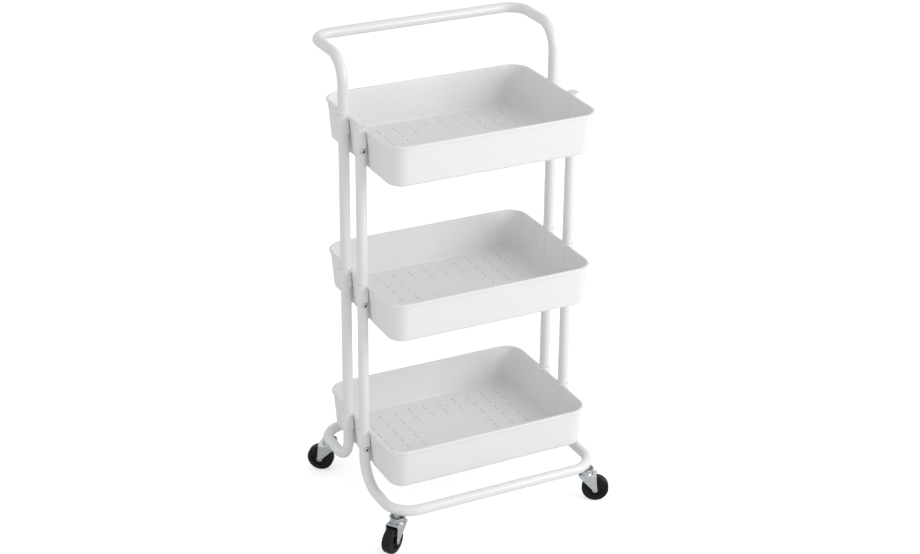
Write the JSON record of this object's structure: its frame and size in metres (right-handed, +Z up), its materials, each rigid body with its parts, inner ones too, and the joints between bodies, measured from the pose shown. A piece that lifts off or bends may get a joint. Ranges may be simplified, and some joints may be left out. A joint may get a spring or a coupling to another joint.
{
  "type": "rolling pantry cart",
  "caption": "White utility cart with stacked open trays on steel tube uprights, a push handle at the rear and swivel casters under a bent tube base.",
  "frame": {"origin": "on the floor under the middle of the cart", "axes": "+Z up, +X along the long side to the right, +Y to the rear, where the handle is"},
  "size_m": [0.4642, 0.3658, 0.8705],
  "materials": {
    "tray_plastic": "satin moulded polypropylene, white",
    "tube_enamel": "white powder coat on steel tube, semi-gloss",
    "cap_plastic": "satin moulded, white",
    "screw_steel": "blackened steel",
    "zinc_plate": "bright zinc plate on pressed steel",
    "ball_steel": "polished steel",
    "wheel_core_plastic": "black moulded nylon",
    "tyre_rubber": "black rubber, smooth tread"
  },
  "bodies": {
    "cart_frame": {"tray_bottom": "tray_plastic", "tray_middle": "tray_plastic", "tray_top": "tray_plastic", "base_tube_front": "tube_enamel", "base_tube_rear": "tube_enamel", "lower_upright_front_left": "tube_enamel", "lower_upright_front_right": "tube_enamel", "lower_upright_rear_left": "tube_enamel", "lower_upright_rear_right": "tube_enamel", "upper_upright_front_left": "tube_enamel", "upper_upright_front_right": "tube_enamel", "upper_upright_rear_left": "tube_enamel", "upper_upright_rear_right": "tube_enamel", "handle_tube": "tube_enamel", "end_cap_left": "cap_plastic", "end_cap_right": "cap_plastic", "tray_screws_bottom": "screw_steel", "tray_screws_middle": "screw_steel", "tray_screws_top": "screw_steel", "rivet_nuts_bottom": "zinc_plate", "rivet_nuts_middle": "zinc_plate", "rivet_nuts_top": "zinc_plate", "caster_inserts": "zinc_plate", "front_left_caster_stem": "zinc_plate", "front_left_caster_upper_race": "zinc_plate", "front_right_caster_stem": "zinc_plate", "front_right_caster_upper_race": "zinc_plate", "rear_left_caster_stem": "zinc_plate", "rear_left_caster_upper_race": "zinc_plate", "rear_right_caster_stem": "zinc_plate", "rear_right_caster_upper_race": "zinc_plate"},
    "front_left_caster": {"front_left_caster_fork": "zinc_plate", "front_left_caster_race_balls": "ball_steel", "front_left_caster_axle_bolt": "zinc_plate", "front_left_caster_axle_nut": "zinc_plate"},
    "front_left_wheel": {"front_left_caster_wheel_core": "wheel_core_plastic", "front_left_caster_tyre": "tyre_rubber"},
    "front_right_caster": {"front_right_caster_fork": "zinc_plate", "front_right_caster_race_balls": "ball_steel", "front_right_caster_axle_bolt": "zinc_plate", "front_right_caster_axle_nut": "zinc_plate"},
    "front_right_wheel": {"front_right_caster_wheel_core": "wheel_core_plastic", "front_right_caster_tyre": "tyre_rubber"},
    "rear_left_caster": {"rear_left_caster_fork": "zinc_plate", "rear_left_caster_race_balls": "ball_steel", "rear_left_caster_axle_bolt": "zinc_plate", "rear_left_caster_axle_nut": "zinc_plate"},
    "rear_left_wheel": {"rear_left_caster_wheel_core": "wheel_core_plastic", "rear_left_caster_tyre": "tyre_rubber"},
    "rear_right_caster": {"rear_right_caster_fork": "zinc_plate", "rear_right_caster_race_balls": "ball_steel", "rear_right_caster_axle_bolt": "zinc_plate", "rear_right_caster_axle_nut": "zinc_plate"},
    "rear_right_wheel": {"rear_right_caster_wheel_core": "wheel_core_plastic", "rear_right_caster_tyre": "tyre_rubber"}
  },
  "joints": [
    {"name": "front_left_swivel", "type": "hinge", "parent": "cart_frame", "child": "front_left_caster", "pos_m": [-0.1924, -0.15221, 0.0588], "axis": [0, 0, 1], "continuous": true},
    {"name": "front_left_roll", "type": "hinge", "parent": "front_left_caster", "child": "front_left_wheel", "pos_m": [-0.2075, -0.16201, 0.025], "axis": [0.5446, -0.8387, 0], "continuous": true},
    {"name": "front_right_swivel", "type": "hinge", "parent": "cart_frame", "child": "front_right_caster", "pos_m": [0.1924, -0.15221, 0.0588], "axis": [0, 0, 1], "continuous": true},
    {"name": "front_right_roll", "type": "hinge", "parent": "front_right_caster", "child": "front_right_wheel", "pos_m": [0.20783, -0.16148, 0.025], "axis": [0.515, 0.8572, 0], "continuous": true},
    {"name": "rear_left_swivel", "type": "hinge", "parent": "cart_frame", "child": "rear_left_caster", "pos_m": [-0.1924, 0.15221, 0.0588], "axis": [0, 0, 1], "continuous": true},
    {"name": "rear_left_roll", "type": "hinge", "parent": "rear_left_caster", "child": "rear_left_wheel", "pos_m": [-0.20659, 0.16329, 0.025], "axis": [-0.6157, -0.788, 0], "continuous": true},
    {"name": "rear_right_swivel", "type": "hinge", "parent": "cart_frame", "child": "rear_right_caster", "pos_m": [0.1924, 0.15221, 0.0588], "axis": [0, 0, 1], "continuous": true},
    {"name": "rear_right_roll", "type": "hinge", "parent": "rear_right_caster", "child": "rear_right_wheel", "pos_m": [0.20733, 0.16228, 0.025], "axis": [-0.5592, 0.829, 0], "continuous": true}
  ]
}
